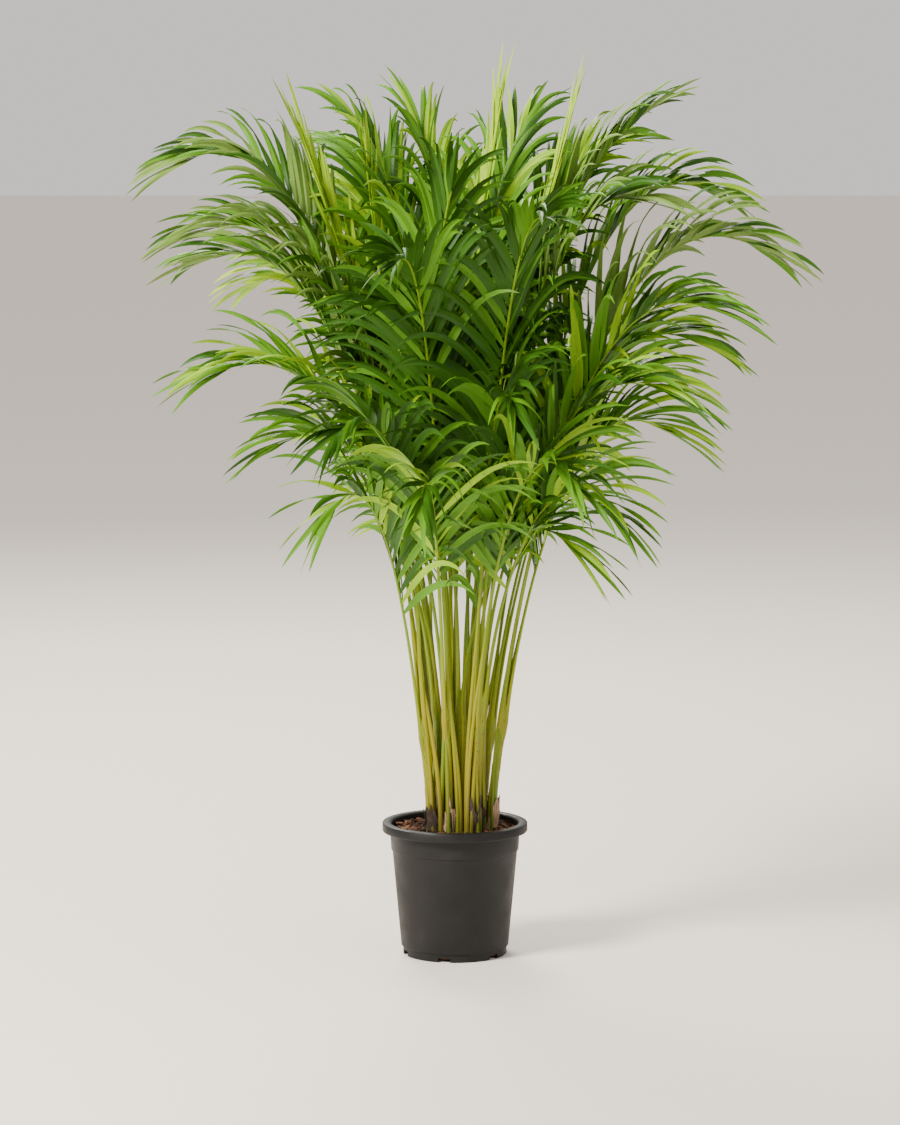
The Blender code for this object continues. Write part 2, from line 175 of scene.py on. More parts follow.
# Heights over a cane's top, each with the radius of its closed sheath there
TOP_SHEATH = ((0.004, 0.0046), (0.009, 0.0045), (0.015, 0.0040), (0.021, 0.0030), (0.025, 0.0016))

# Old leaf bases: closed strips round the canes, whose two faces lie at two gaps from the cane
STRIP_COLUMNS = 9
STRIP_ROWS = 9
STRIP_GAPS = (0.0016, 0.0008)
STRIP_RADIUS = 0.0068
STRIP_NARROWING = 0.45
STRIP_RAGGED = (0.55, 1.0)
STRIP_ARC = (0.15, 0.7)  # the part of half a wave that the top follows: its start and its length
STRIP_ASIDE = 70
STRIP_FOOT = (-0.001, 0.006)
STRIP_HEIGHT = (0.020, 0.050)
STRIP_SPREAD = (110, 200)
STRIP_FLARE = (0.0005, 0.0035)
DARK_SHARE = 0.7
FIRST_OUTER_CANE = 6  # counted from 0, the canes from this one on carry two strips each

# Stalks. Their first rings lie inside the cane: a depth below the stalk's foot, and a breadth as a
# share of the stalk's.
STALK_SIDES = 8
STALK_RINGS = 44
JOIN_DEPTH = 0.036
JOIN_RINGS = ((JOIN_DEPTH, 0.5), (0.024, 0.85), (0.012, 1.2))
JOIN_DRIFT = 0.75
FOOT_SWELL = 0.40
FOOT_SWELL_REACH = 0.035
STALK_FLATNESS = 0.85
STALK_FOOT_RISE = 0.04  # the attribute "rise" where a stalk leaves its cane
STALK_TONES = (0.0, 0.75)

# Thin stems that rise from the soil beside a cane and join a stalk above it
SHOOT_REACH = 0.039  # the farthest that one leaves the soil from the clump's middle
SHOOT_JOINT = (0.02, 0.16)
SHOOT_GAP = (0.009, 0.013)
SHOOT_SCATTER = 1.2  # the weight of a random direction beside the stalk's own
SHOOT_RADIUS = (0.0017, 0.0031)
SHOOT_BOW = (0.001, 0.004)
SHOOT_LEAVING = 0.4
SHOOT_JOINING = 0.35
SHOOT_STEPS = 24
SHOOT_TAPER = 0.35
SHOOT_TOP_RISE = 0.12

# Leaflets: the same reach as the solids' leaflets, closer together and finer. Angles are in
# degrees, but roll and twist in radians.
LEAFLET_LENGTH = 0.185
LENGTH_RANGE = (0.90, 1.03)
LENGTH_AT_ENDS = 0.72
LENGTH_BULGE = 0.28
BULGE_SPEED = 1.2
LENGTH_LOSS = 0.18
WIDTH_RANGE = (0.88, 1.12)
WIDTH_AT_ENDS = 0.78
WIDTH_BULGE = 0.22
DROOP_RANGE = (0.8, 1.15)
DROOP_LOSS = 0.3
FIRST_LEAFLET = 0.96  # where the leaflets start, as a share of the bare stalk
PAIR_LAG = 0.3
PAIR_STAGGER = 0.18
PAIR_SHAKE = 0.12
ANGLE_AT_FOOT = 46
ANGLE_AT_TIP = 16
ANGLE_SCATTER = 3.5
VEE_ANGLE = 30
VEE_SCATTER = 7
ROLL_SCATTER = 0.22
TWIST_SCATTER = 0.35
CURL_RANGE = (0.0, 0.25)
END_LENGTH = 0.0935
END_WIDTH = 0.7
END_SPLAY = 0.16
END_TURN = 0.5
END_TWIST = 0.1
END_DROOP = 0.3
YOUNG_END_DROOP = 0.05
# How much of the angle, length, width and droop a young frond's leaflets have
YOUNG_FACTORS = (0.28, 0.85, 0.6, 0.2)
BLADE_SEGMENTS = 12
BLADE_CORNERS = 4
BLADE_THICKNESS = 0.0004
TIP_THICKNESS = 0.35  # as a share of the thickness at the foot
BLADE_FOLD = 20  # how far each half of a blade falls away from its midrib, in degrees
BLADE_TIP_HALF = 0.00012  # so that a blade doesn't end in a point
# The outline of a blade: how broad its foot is, how fast it widens, and how it narrows to its tip
BLADE_FOOT = 0.24
BLADE_WIDENING = 3.4
BLADE_NARROWING = 2.4
BLADE_BLUNTNESS = 0.85
# How a blade droops along its length
DROOP_START = 0.02
DROOP_GROWTH = 1.40
DROOP_POWER = 1.6
# How the veins lie on the blades: repeats for each metre, and the shift from blade to blade
VEIN_REPEATS = 20
VEIN_SHIFT = 3.7

# Leaf colours, each a base colour and a roughness. Deep, bright and grey are mostly painted
# light and shade: deep is painted shade for the front of the crown, bright is painted light for
# its lit inside and back-lit far side, and grey is a painted sheen high at the sides. Mid and
# fresh are the leaves' own greens, fresh mostly on the young fronds.
LEAF_LOOKS = {
    "deep": ((0.028, 0.095, 0.003), 0.42),
    "mid": ((0.082, 0.225, 0.005), 0.45),
    "bright": ((0.250, 0.450, 0.008), 0.48),
    "fresh": ((0.330, 0.520, 0.010), 0.50),
    "grey": ((0.145, 0.250, 0.040), 0.46),
}
# The colours that the leaflets of a frond of each colour are drawn from
MIXES = {
    "deep": ("deep", "deep", "deep", "mid"),
    "mid": ("mid", "mid", "deep", "bright"),
    "bright": ("bright", "bright", "mid", "fresh"),
    "fresh": ("fresh", "fresh", "bright"),
    "grey": ("grey", "grey", "mid", "deep"),
}
# Where a frond changes colour: by its heading, the height of its tip and its reach. This places
# painted shade on the higher front fronds, painted light on the far side below its highest
# fronds and on the inner side fronds, and a painted sheen on the high side fronds.
FRONT_HEADINGS = (230, 300)
LOW_TIP = 0.6
HIGH_TIP = 0.78
FAR_HIGH_TIP = 0.8
INNER_REACH = 0.24

# The stage
CAMERA_PLACE = (-0.0055, -4.5, 0.98)
CAMERA_DIP = 6.8
CAMERA_LENS = 129.74
CAMERA_SENSOR = 36
FLOOR_SIZE = 60
FLOOR_LEVEL = -0.0002
FLOOR_COLOUR = (0.86, 0.80, 0.74)
WORLD_COLOUR = (0.97, 0.92, 0.87)
WORLD_STRENGTH = 0.9
LIGHT_AIM = Vector((0, 0, 0.55))
# Name, place, size, power and colour of each light
LIGHTS = (
    ("key", (-2.2, -1.9, 2.6), 1.1, 290, (1.0, 0.95, 0.88)),
    ("fill", (2.4, -1.8, 1.6), 2.2, 14, (1.0, 1.0, 1.0)),
    ("back", (-0.6, 2.4, 2.6), 1.4, 120, (1.0, 0.97, 0.86)),
)

Frond = namedtuple("Frond", "heading reach height arch young")
Leaflet = namedtuple(
    "Leaflet", "colour root direction side along length width droop roll twist curl"
)


def leaf_colour(name, description):
    """The property for one of the leaf colours."""
    return bpy.props.FloatVectorProperty(
        name=f"{name.capitalize()} leaves", description=description,
        default=LEAF_LOOKS[name][0], subtype="COLOR", min=0, max=1,
    )


class PalmSettings(bpy.types.PropertyGroup):
    """The sizes and colours that the operators build the palm with."""

    pot_sides: bpy.props.IntProperty(
        name="Pot sides", description="Flat sides of the pot's round wall", default=128, min=24
    )
    chips: bpy.props.IntProperty(
        name="Soil chips", description="Chips and fibres of coir on the soil", default=900, min=0
    )
    pair_spacing: bpy.props.FloatProperty(
        name="Pair spacing", description="Between pairs of leaflets along a frond",
        default=0.0120, min=0.002, unit="LENGTH",
    )
    leaflet_width: bpy.props.FloatProperty(
        name="Leaflet width", description="At the widest place of a full leaflet",
        default=0.0112, min=0.001, unit="LENGTH",
    )
    # Deep is painted shade, bright is painted light and grey is a painted sheen; mid and fresh are
    # leaf greens
    leaf_deep: leaf_colour("deep", "The darkest leaves, as in the shade of the front")
    leaf_mid: leaf_colour("mid", "The commonest leaves")
    leaf_bright: leaf_colour("bright", "Light leaves, as on the far side")
    leaf_fresh: leaf_colour("fresh", "The lightest leaves, as on the young fronds")
    leaf_grey: leaf_colour("grey", "Leaves with a grey shine, as high at the sides")


# Small helpers


def compass(heading):
    """The level direction of a heading."""
    angle = math.radians(heading)
    return Vector((math.cos(angle), math.sin(angle), 0))


def fade(distance, reach):
    """A bell curve: 1 at no distance, and next to nothing at twice the reach."""
    return math.exp(-((distance / reach) ** 2))


def only(made):
    """Select one object alone and make it the active one."""
    bpy.ops.object.select_all(action="DESELECT")
    made.select_set(True)
    bpy.context.view_layer.objects.active = made


def apply_modifiers(made):
    """Apply an object's modifiers in their order."""
    only(made)
    for modifier in list(made.modifiers):
        bpy.ops.object.modifier_apply(modifier=modifier.name)


def add_mesh(name, verts, faces, material, sharp, points=None, uv=None):
    """A smooth mesh object, hard where faces meet at more than an angle in degrees.

    Points are named numbers for each vertex, and uv has a place for each vertex.
    """
    mesh = bpy.data.meshes.new(name)
    mesh.from_pydata([tuple(vert) for vert in verts], [], faces)
    mesh.materials.append(material)
    mesh.shade_smooth()
    mesh.set_sharp_from_angle(angle=math.radians(sharp))
    for key, values in (points or {}).items():
        layer = mesh.attributes.new(key, "FLOAT", "POINT")
        layer.data.foreach_set("value", values)
    if uv is not None:
        corners = np.empty(len(mesh.loops), dtype=np.int32)
        mesh.loops.foreach_get("vertex_index", corners)
        layer = mesh.uv_layers.new(name="UVMap")
        layer.data.foreach_set("uv", np.asarray(uv, dtype=np.float32)[corners].ravel())
    if mesh.validate():
        raise RuntimeError(f"{name} has faces that Blender had to mend")
    made = bpy.data.objects.new(name, mesh)
    bpy.context.collection.objects.link(made)
    return made


def finish_piece(made, slot, *nodes):
    """Ride on the plant's one body and stand for the given solids. The slot is not used."""
    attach(made, "root")
    if nodes:
        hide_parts(*nodes)


def numbered(name, count):
    """The names of the solids of one kind, numbered from 01."""
    return [f"{name}_{number:02d}" for number in range(1, count + 1)]


def new_material(name, colour, roughness, specular=None):
    """A plain material, and the tree to add nodes to."""
    material = bpy.data.materials.new(name)
    material.use_nodes = True
    shader = material.node_tree.nodes["Principled BSDF"]
    shader.inputs["Base Color"].default_value = (*colour, 1.0)
    shader.inputs["Roughness"].default_value = roughness
    if specular is not None:
        shader.inputs["Specular IOR Level"].default_value = specular
    return material, material.node_tree


def driven(material, colour=None, roughness=None, normal=None):
    """The material, with nodes in place of its plain colour, roughness or normal."""
    tree = material.node_tree
    shader = tree.nodes["Principled BSDF"]
    for name, source in (("Base Color", colour), ("Roughness", roughness), ("Normal", normal)):
        if source is not None:
            tree.links.new(source, shader.inputs[name])
    return material


def add_node(tree, kind, **values):
    """A node with its sockets or properties set by name."""
    node = tree.nodes.new(kind)
    for key, value in values.items():
        if key in node.inputs:
            node.inputs[key].default_value = value
        else:
            setattr(node, key, value)
    return node


def relief_group():
    """A shared group: noise over a stretched place, as a plain value and as a normal."""
    group = bpy.data.node_groups.get("noise_relief")
    if group:
        return group
    group = bpy.data.node_groups.new("noise_relief", "ShaderNodeTree")
    sockets = (
        ("Place", "INPUT", "Vector"), ("Stretch", "INPUT", "Vector"), ("Detail", "INPUT", "Float"),
        ("Distance", "INPUT", "Float"), ("Strength", "INPUT", "Float"),
        ("Value", "OUTPUT", "Float"), ("Normal", "OUTPUT", "Vector"),
    )
    for name, way, kind in sockets:
        group.interface.new_socket(name, in_out=way, socket_type=f"NodeSocket{kind}")
    start = group.nodes.new("NodeGroupInput")
    end = group.nodes.new("NodeGroupOutput")
    stretched = group.nodes.new("ShaderNodeMapping")
    noise = add_node(group, "ShaderNodeTexNoise", Scale=1.0)
    bump = group.nodes.new("ShaderNodeBump")
    links = (
        (start, "Place", stretched, "Vector"), (start, "Stretch", stretched, "Scale"),
        (stretched, "Vector", noise, "Vector"), (start, "Detail", noise, "Detail"),
        (noise, "Fac", bump, "Height"), (start, "Distance", bump, "Distance"),
        (start, "Strength", bump, "Strength"), (noise, "Fac", end, "Value"),
        (bump, "Normal", end, "Normal"),
    )
    for source, output, target, socket in links:
        group.links.new(source.outputs[output], target.inputs[socket])
    return group


def add_relief(tree, stretch, distance, strength, detail, place=None):
    """The shared relief's value and normal, on Object coordinates unless a place is given."""
    if place is None:
        place = tree.nodes.new("ShaderNodeTexCoord").outputs["Object"]
    if not isinstance(stretch, tuple):
        stretch = (stretch, stretch, stretch)
    relief = add_node(
        tree, "ShaderNodeGroup", node_tree=relief_group(),
        Stretch=stretch, Detail=detail, Distance=distance, Strength=strength,
    )
    tree.links.new(place, relief.inputs["Place"])
    return relief.outputs["Value"], relief.outputs["Normal"]


def add_ramp(tree, source, stops):
    """A colour ramp over a value, from stops of (place, grey or colour)."""
    ramp = tree.nodes.new("ShaderNodeValToRGB")
    band = ramp.color_ramp
    while len(band.elements) < len(stops):
        band.elements.new(1.0)
    for element, (place, colour) in zip(band.elements, stops):
        element.position = place
        element.color = (*colour, 1.0) if isinstance(colour, tuple) else (colour,) * 3 + (1.0,)
    tree.links.new(source, ramp.inputs["Fac"])
    return ramp.outputs["Color"]


def add_mix(tree, factor, under, over):
    """A plain colour laid over another by a factor."""
    mix = add_node(tree, "ShaderNodeMix", data_type="RGBA")
    # The colour sockets share their names with others, so they are taken by number
    tree.links.new(factor, mix.inputs[0])
    tree.links.new(under, mix.inputs[6])
    mix.inputs[7].default_value = (*over, 1.0)
    return mix.outputs[2]


def attribute(tree, name):
    """The numbers of one name that a mesh keeps at its vertices."""
    return add_node(tree, "ShaderNodeAttribute", attribute_name=name).outputs["Fac"]


# Materials


def pot_material():
    """Matt black recycled plastic with dusty scuffs and a fine moulded grain."""
    material, tree = new_material("pot_plastic", (0.016, 0.017, 0.018), 0.5, specular=0.24)
    dust, _ = add_relief(tree, 34, distance=0.0004, strength=0.20, detail=8.0)
    tints = (
        (0.35, (0.005, 0.005, 0.005)), (0.62, (0.009, 0.009, 0.008)), (0.80, (0.017, 0.016, 0.014)),
    )
    gloss = add_ramp(tree, dust, ((0.3, 0.40), (0.7, 0.62)))
    _, grain = add_relief(tree, 900, distance=0.0002, strength=0.25, detail=2.0)
    return driven(material, colour=add_ramp(tree, dust, tints), roughness=gloss, normal=grain)


def coir_material():
    """Chips of coir, coloured by a tone kept on each chip, with a fibrous relief."""
    material, tree = new_material("soil_coir", (0.07, 0.03, 0.017), 0.95, specular=0.2)
    stops = (
        (0.0, (0.010, 0.005, 0.003)), (0.4, (0.042, 0.017, 0.009)),
        (0.8, (0.095, 0.040, 0.020)), (1.0, (0.170, 0.085, 0.045)),
    )
    _, fibres = add_relief(tree, 420, distance=0.001, strength=0.8, detail=6.0)
    return driven(material, colour=add_ramp(tree, attribute(tree, "tone"), stops), normal=fibres)


def bed_material():
    """The soil under the chips, mottled by noise."""
    material, tree = new_material("soil_bed", (0.05, 0.022, 0.013), 0.97)
    lumps, bumps = add_relief(tree, 160, distance=0.004, strength=1.0, detail=6.0)
    stops = (
        (0.35, (0.016, 0.008, 0.005)), (0.55, (0.060, 0.026, 0.015)), (0.75, (0.110, 0.052, 0.030)),
    )
    return driven(material, colour=add_ramp(tree, lumps, stops), normal=bumps)


def cane_material():
    """Yellow-green cane with brown ring scars, dark specks and a dark brown foot, partly the
    cane's own brown and partly painted shade where the canes crowd at the soil.
    """
    material, tree = new_material("cane_skin", (0.26, 0.28, 0.07), 0.45, specular=0.2)
    # The dark brown low on the rise is partly the cane's own brown and partly painted shade among
    # the crowded canes
    body = add_ramp(tree, attribute(tree, "rise"), (
        (0.0, (0.040, 0.022, 0.008)), (0.12, (0.13, 0.095, 0.010)),
        (0.40, (0.22, 0.20, 0.010)), (0.85, (0.17, 0.235, 0.010)),
    ))
    specks, bumps = add_relief(tree, 520, distance=0.0003, strength=0.3, detail=3.0)
    speckled = add_mix(
        tree, add_ramp(tree, specks, ((0.60, 0.0), (0.66, 0.85))), body, (0.045, 0.030, 0.015)
    )
    scarred = add_mix(tree, attribute(tree, "scar"), speckled, (0.200, 0.130, 0.020))
    return driven(material, colour=scarred, normal=bumps)


def sheath_material(name, dark, light):
    """A dry, papery leaf base with fibres that run up it."""
    material, tree = new_material(name, light, 0.8)
    fibres, bumps = add_relief(tree, (900, 900, 45), distance=0.0006, strength=0.7, detail=4.0)
    colour = add_ramp(tree, fibres, ((0.35, dark), (0.65, light)))
    return driven(material, colour=colour, normal=bumps)


def stalk_material():
    """Stalks, brown at the foot, then yellow and at last green, some more than others."""
    material, tree = new_material("stalk_skin", (0.22, 0.30, 0.06), 0.42, specular=0.2)
    stops = (
        (0.0, (0.10, 0.075, 0.010)), (0.03, (0.24, 0.20, 0.010)), (0.10, (0.27, 0.27, 0.010)),
        (0.3, (0.21, 0.30, 0.008)), (1.0, (0.22, 0.38, 0.008)),
    )
    body = add_ramp(tree, attribute(tree, "rise"), stops)
    greener = add_mix(tree, attribute(tree, "tone"), body, (0.075, 0.165, 0.008))
    _, grain = add_relief(tree, 700, distance=0.0002, strength=0.3, detail=4.0)
    return driven(material, colour=greener, normal=grain)


def leaf_material(name, colour, roughness):
    """One plain leaf colour, with parallel veins in relief and a waxy gloss that varies."""
    material, tree = new_material(f"leaf_{name}", colour, roughness, specular=0.22)
    place = add_node(tree, "ShaderNodeUVMap", uv_map="UVMap").outputs["UV"]
    veins, ridges = add_relief(
        tree, (26, 0.6, 1), distance=0.0004, strength=0.35, detail=2.0, place=place
    )
    gloss = add_ramp(tree, veins, ((0.3, roughness - 0.07), (0.7, roughness + 0.1)))
    return driven(material, roughness=gloss, normal=ridges)


# The pot


def notch_blocks():
    """Rounded blocks that stand across the pot's foot, one for each drainage notch."""
    blocks = []
    for number in range(NOTCHES):
        heading = FIRST_NOTCH + number * 360 / NOTCHES
        bpy.ops.mesh.primitive_cube_add(
            size=1, location=NOTCH_DISTANCE * compass(heading),
            rotation=(0, 0, math.radians(heading)), scale=NOTCH_BLOCK,
        )
        block = bpy.context.active_object
        rounded = block.modifiers.new("rounded", "BEVEL")
        rounded.width = NOTCH_ROUNDING
        rounded.segments = 3
        blocks.append(block)
    return blocks


def make_pot(settings):
    """Turn the pot's outline, cut its drainage notches and give it the black plastic."""
    mesh = bpy.data.meshes.new("pot_shell")
    edges = [(number, number + 1) for number in range(len(POT_OUTLINE) - 1)]
    mesh.from_pydata([(radius, 0, height) for radius, height in POT_OUTLINE], edges, [])
    pot = bpy.data.objects.new("pot_shell", mesh)
    bpy.context.collection.objects.link(pot)
    turned = pot.modifiers.new("turned", "SCREW")
    turned.steps = settings.pot_sides
    turned.render_steps = settings.pot_sides
    turned.use_merge_vertices = True
    turned.merge_threshold = WELD
    apply_modifiers(pot)
    bpy.ops.object.mode_set(mode="EDIT")
    bpy.ops.mesh.select_all(action="SELECT")
    bpy.ops.mesh.remove_doubles(threshold=WELD)
    bpy.ops.mesh.normals_make_consistent(inside=False)
    bpy.ops.object.mode_set(mode="OBJECT")
    plain = len(pot.data.polygons)
    blocks = notch_blocks()
    for block in blocks:
        notch = pot.modifiers.new("notch", "BOOLEAN")
        notch.operation = "DIFFERENCE"
        notch.object = block
    apply_modifiers(pot)
    if len(pot.data.polygons) <= plain:
        raise RuntimeError("The pot's notches were not cut")
    for block in blocks:
        bpy.data.objects.remove(block)
    pot.data.materials.clear()
    pot.data.materials.append(pot_material())
    pot.data.shade_smooth()
    pot.data.set_sharp_from_angle(angle=math.radians(POT_SHARP))
    finish_piece(pot, "pot_plastic", "pot")


# The soil


def chip_mesh(draw, count):
    """Chips and short fibres of coir, strewn over the soil, each with a tone of its own."""
    verts, faces, tones = [], [], []
    corners = [Vector((x, y, z)) for x in (-1, 1) for y in (-1, 1) for z in (-1, 1)]
    sides = ((0, 1, 3, 2), (4, 6, 7, 5), (0, 4, 5, 1), (2, 3, 7, 6), (0, 2, 6, 4), (1, 5, 7, 3))
    for number in range(count):
        reach = CHIP_SPREAD * math.sqrt(draw.random())
        middle = reach * compass(draw.uniform(0, 360))
        middle = middle + (SOIL_LEVEL + draw.uniform(*CHIP_LEVELS)) * UP
        sizes = CHIP_SIZES if number % FIBRE_EVERY else FIBRE_SIZES
        long, wide, deep = [draw.uniform(*size) for size in sizes]
        heading = compass(draw.uniform(0, 360))
        axis = (heading + draw.uniform(-CHIP_LEAN, CHIP_LEAN) * UP).normalized()
        side = UP.cross(axis).normalized()
        side = (side + draw.uniform(-CHIP_SKEW, CHIP_SKEW) * axis.cross(side)).normalized()
        over = axis.cross(side)
        first = len(verts)
        for corner in corners:
            worn = [draw.uniform(*CHIP_WEAR) for _ in range(3)]
            verts.append(
                middle + corner.x * worn[0] * long * axis + corner.y * worn[1] * wide * side
                + corner.z * worn[2] * deep * over
            )
        faces += [tuple(first + corner for corner in quad) for quad in sides]
        tones += [draw.random()] * len(corners)
    return verts, faces, tones


def make_soil(settings):
    """Give the soil its bed material and strew it with chips and fibres."""
    bpy.data.objects["soil"].material_slots[0].material = bed_material()
    verts, faces, tones = chip_mesh(random.Random(SEED), settings.chips)
    chips = add_mesh("soil_chips", verts, faces, coir_material(), sharp=30, points={"tone": tones})
    finish_piece(chips, "soil")


# Canes and stalks by the solids' rule


def cane_axes():
    """Each cane's foot and top: a sunflower's pattern on the soil that widens as it rises."""
    draw = random.Random(SEED)
    axes = []
    for number in range(CANES):
        distance = CLUMP_RADIUS * math.sqrt((number + 0.5) / (CANES - 0.5))
        offset = distance * compass(CLUMP_TURN + number * GOLDEN_ANGLE)
        foot = CLUMP_CENTRE + offset + (SOIL_LEVEL + CLEARANCE) * UP
        top = CLUMP_CENTRE + CLUMP_SPREAD * offset + draw.uniform(*CANE_TOPS) * UP
        axes.append((foot, top))
    return axes


def frond_plan():
    """Every frond, the widest reach first."""
    plan = [Frond(*numbers, young=False) for numbers in SHOWN_FRONDS]
    plan += [Frond(*numbers, young=True) for numbers in YOUNG_FRONDS]
    first, last = FAR_HEADINGS
    for number in range(CANES * STALKS_PER_CANE - len(plan)):
        heading = first + (last - first) * (number * GOLDEN_SHARE % 1)
        plan.append(Frond(heading, *FAR_TIERS[number % len(FAR_TIERS)], young=False))
    return sorted(plan, key=lambda frond: -frond.reach)


def shared_out(plan, axes):
    """The fronds of each cane: a frond goes to the free cane nearest to the way it leans."""
    widest = plan[0].reach
    groups = [[] for _ in axes]
    for frond in plan:
        wanted = CLUMP_CENTRE + CLUMP_RADIUS * frond.reach / widest * compass(frond.heading)
        free = [number for number, group in enumerate(groups) if len(group) < STALKS_PER_CANE]
        nearest = min(free, key=lambda number: (axes[number][0].xy - wanted.xy).length)
        groups[nearest].append(frond)
    return groups


def guide_points(cane, frond, place):
    """The four guide points of a stalk that leaves its cane in line and arches over to its tip."""
    foot, top = cane
    along = (top - foot).normalized()
    outward = (top - CLUMP_CENTRE).xy.to_3d().normalized()
    around = math.radians(place * 360 / STALKS_PER_CANE)
    offset = STALK_OFFSET * (math.cos(around) * outward + math.sin(around) * UP.cross(outward))
    start = top + offset + CLEARANCE * UP
    tip = frond.reach * compass(frond.heading) + frond.height * UP
    rise = frond.height - start.z
    level = (tip - start).xy.to_3d()
    leaving = start + STALK_REACH * rise * along / along.z
    arching = start + STALK_REACH * level + (rise + frond.arch) * UP
    return start, leaving, arching, tip


def bezier(guides, share):
    """The point at a share of the way along a cubic curve."""
    a, b, c, d = guides
    rest = 1 - share
    return rest**3 * a + 3 * rest**2 * share * b + 3 * rest * share**2 * c + share**3 * d


class Stalk:
    """A frond's stalk as a measured curve, with its place and frame at any distance."""

    def __init__(self, frond, guides, roll):
        self.frond = frond
        self.points = [bezier(guides, step / STALK_STEPS) for step in range(STALK_STEPS + 1)]
        self.marks = [0.0]
        for last, point in zip(self.points, self.points[1:]):
            self.marks.append(self.marks[-1] + (point - last).length)
        self.length = self.marks[-1]
        self.side = compass(frond.heading + 90)
        self.roll = math.radians(roll)

    def frame(self, distance):
        """The point there, and the directions along, to the left of and above the stalk."""
        step = 1
        while step < STALK_STEPS and self.marks[step] < distance:
            step += 1
        along = (self.points[step] - self.points[step - 1]).normalized()
        point = self.points[step - 1] + (distance - self.marks[step - 1]) * along
        level = (self.side - self.side.dot(along) * along).normalized()
        left = math.cos(self.roll) * level + math.sin(self.roll) * along.cross(level)
        return point, along, left, along.cross(left)


def make_stalks():
    """Every frond's stalk: a cane's lowest frond leaves outwards, the others either side."""
    draw = random.Random(SEED)
    axes = cane_axes()
    stalks = []
    for cane, fronds in zip(axes, shared_out(frond_plan(), axes)):
        outward = (cane[1] - CLUMP_CENTRE).xy
        bearing = math.degrees(math.atan2(outward.y, outward.x))
        lowest = min(fronds, key=lambda frond: frond.height)
        others = [frond for frond in fronds if frond is not lowest]
        others.sort(key=lambda frond: (frond.heading - bearing + 180) % 360)
        for frond, place in zip([lowest, *others], (0, -1, 1)):
            roll = draw.uniform(-STALK_ROLL, STALK_ROLL)
            stalks.append(Stalk(frond, guide_points(cane, frond, place), roll))
    return stalks


# Canes, old leaf bases, stalks and thin stems as meshes


def level_ring(centre, radius):
    """A level round ring of a tube: its centre and the two vectors across it."""
    return centre, radius * RIGHT, radius * BACK


class Tubes:
    """Closed tubes gathered into one mesh, with numbers kept at each of their rings."""

    def __init__(self, sides):
        self.sides = sides
        self.verts = []
        self.faces = []
        self.points = {}

    def add(self, rings, **numbers):
        """Add a tube through rings, each a centre and two vectors, with numbers for each."""
        first = len(self.verts)
        sides = self.sides
        for centre, across, over in rings:
            for side in range(sides):
                turn = math.tau * side / sides
                self.verts.append(centre + math.cos(turn) * across + math.sin(turn) * over)
        for ring in range(len(rings) - 1):
            low = first + ring * sides
            for side in range(sides):
                after = (side + 1) % sides
                high = low + sides
                self.faces.append((low + side, low + after, high + after, high + side))
        last = first + (len(rings) - 1) * sides
        bottom = len(self.verts)
        top = bottom + 1
        self.verts += [rings[0][0], rings[-1][0]]
        for side in range(sides):
            after = (side + 1) % sides
            self.faces.append((bottom, first + after, first + side))
            self.faces.append((top, last + side, last + after))
        for key, values in numbers.items():
            spread = [value for value in values for _ in range(sides)]
            self.points.setdefault(key, []).extend([*spread, values[0], values[-1]])

    def build(self, name, material):
        """The gathered tubes as one object."""
        return add_mesh(name, self.verts, self.faces, material, sharp=40, points=self.points)


def cane_radius(share):
    """A cane's radius at a share of its height, by the solids' sections."""
    for (low, low_radius), (high, high_radius) in zip(CANE_SECTIONS, CANE_SECTIONS[1:]):
        if share <= high:
            return low_radius + (high_radius - low_radius) * (share - low) / (high - low)
    return CANE_SECTIONS[-1][1]


def cane_rings(draw, foot, top):
    """The rings of a cane and of the sheath that closes it, with the rise and the scar at each."""
    length = (top - foot).length
    along = (top - foot).normalized()
    joints = [draw.uniform(*FIRST_JOINT)]
    while joints[-1] < length:
        joints.append(joints[-1] + draw.uniform(*JOINT_GAP))
    bulk = draw.uniform(*CANE_BULK)
    sway = draw.uniform(*CANE_SWAY) * compass(draw.uniform(0, 360))
    rings, rises, scars = [], [], []
    for step in range(CANE_STEPS + 1):
        share = step / CANE_STEPS
        distance = length * step / CANE_STEPS
        near = min(abs(distance - joint) for joint in joints)
        swelling = SWELLING * fade(near, SWELLING_REACH)
        groove = GROOVE * fade(near, GROOVE_REACH)
        radius = bulk * cane_radius(share) * (1 + swelling - groove)
        rings.append(level_ring(foot.lerp(top, share) + math.sin(math.pi * share) * sway, radius))
        rises.append(share * CANE_TOP_RISE)
        scars.append(SCAR * fade(near, SCAR_REACH))
    for rise, radius in TOP_SHEATH:
        rings.append(level_ring(top + rise * along, radius))
        rises.append(SHEATH_FOOT_RISE + SHEATH_RISE_RATE * rise)
        scars.append(0.0)
    return rings, rises, scars


def make_canes():
    """Canes with ring scars and swollen joints, each closing into a sheath round its stalks."""
    draw = random.Random(SEED + 1)
    canes = Tubes(CANE_SIDES)
    for foot, top in cane_axes():
        rings, rises, scars = cane_rings(draw, foot, top)
        canes.add(rings, rise=rises, scar=scars)
    finish_piece(canes.build("canes", cane_material()), "cane", *numbered("cane", CANES))


def strip_face(foot, top, gap, heading, start, heights, spread, flare):
    """One face of an old leaf base, as rows of points that narrow and flare as they rise."""
    along = (top - foot).normalized()
    points = []
    for row in range(STRIP_ROWS):
        share = row / (STRIP_ROWS - 1)
        radius = STRIP_RADIUS + gap + flare * share**2
        for column, height in enumerate(heights):
            aside = column / (STRIP_COLUMNS - 1) - 0.5
            turn = heading + spread * aside * (1 - STRIP_NARROWING * share)
            points.append(foot + (start + height * share) * along + radius * compass(turn))
    return points


